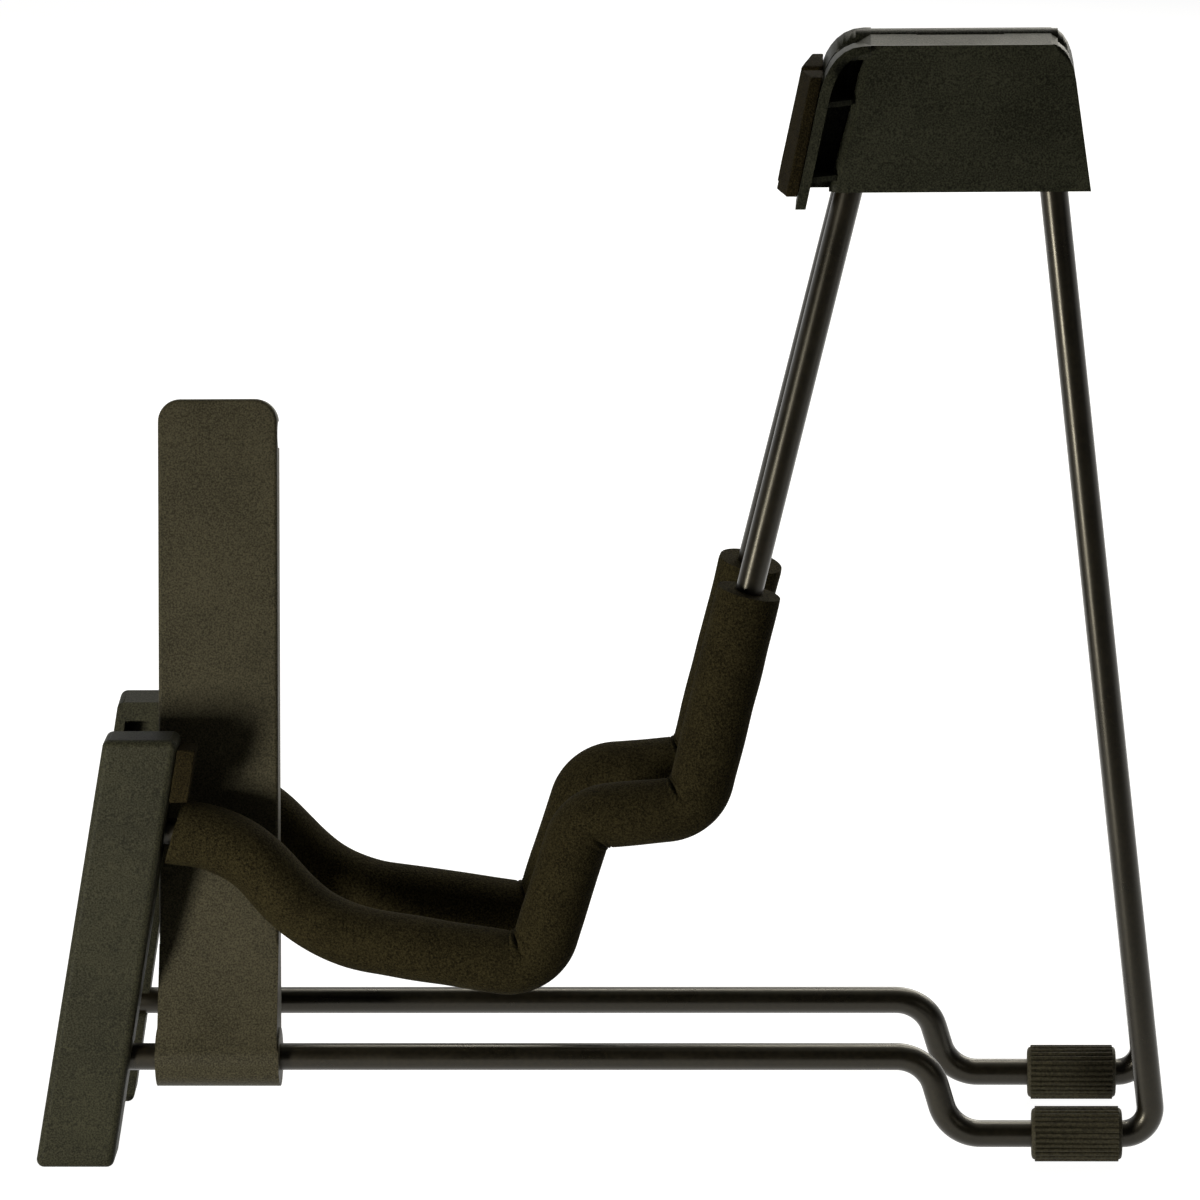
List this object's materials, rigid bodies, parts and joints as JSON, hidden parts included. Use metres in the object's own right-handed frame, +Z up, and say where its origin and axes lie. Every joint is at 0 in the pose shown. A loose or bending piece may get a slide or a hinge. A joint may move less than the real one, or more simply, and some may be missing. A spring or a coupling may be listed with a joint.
{
  "type": "folding instrument stand",
  "caption": "Small folding A-frame floor stand for a violin or ukulele: mirrored bent-wire frames with foam cradles, front legs, ribbed feet, a hinged head and a spreader plate.",
  "frame": {"origin": "middle of the folded stand's footprint, on the floor", "axes": "+Z up; +X from the front (cradle side) to the rear; +Y from the right frame to the left frame"},
  "size_m": [0.2502, 0.0516, 0.251],
  "materials": {
    "wire_coat": "gloss black coat on steel wire",
    "foam": "matte fine-cell foam",
    "pad_foam": "matte foam",
    "charcoal_plastic": "fine-grain matte moulding",
    "foot_rubber": "matte ribbed rubber",
    "steel": "plain steel"
  },
  "bodies": {
    "left_frame": {"left_wire_frame": "wire_coat", "left_cradle_foam": "foam", "left_front_leg": "charcoal_plastic", "left_leg_pad": "pad_foam", "left_rear_foot": "foot_rubber", "left_head_shell": "charcoal_plastic", "left_head_pad": "pad_foam", "left_wire_keeper": "charcoal_plastic", "left_keeper_screws": "steel", "hinge_pin": "steel"},
    "right_frame": {"right_wire_frame": "wire_coat", "right_cradle_foam": "foam", "right_front_leg": "charcoal_plastic", "right_leg_pad": "pad_foam", "right_rear_foot": "foot_rubber", "right_head_shell": "charcoal_plastic", "right_head_pad": "pad_foam", "right_wire_keeper": "charcoal_plastic", "right_keeper_screws": "steel"},
    "spreader": {"spreader_plate": "charcoal_plastic"}
  },
  "joints": [
    {"name": "fold", "type": "hinge", "parent": "left_frame", "child": "right_frame", "pos_m": [0.07915, 0, 0.2486], "axis": [-1, 0, 0], "range_deg": [0, 52]},
    {"name": "spreader_swing", "type": "hinge", "parent": "right_frame", "child": "spreader", "pos_m": [-0.08435, -0.01835, 0.0239], "axis": [-1, 0, 0], "range_deg": [0, 43.7]}
  ],
  "couplings": [
    {"joint": "spreader_swing", "follows": "fold", "ratio": 0.84}
  ]
}
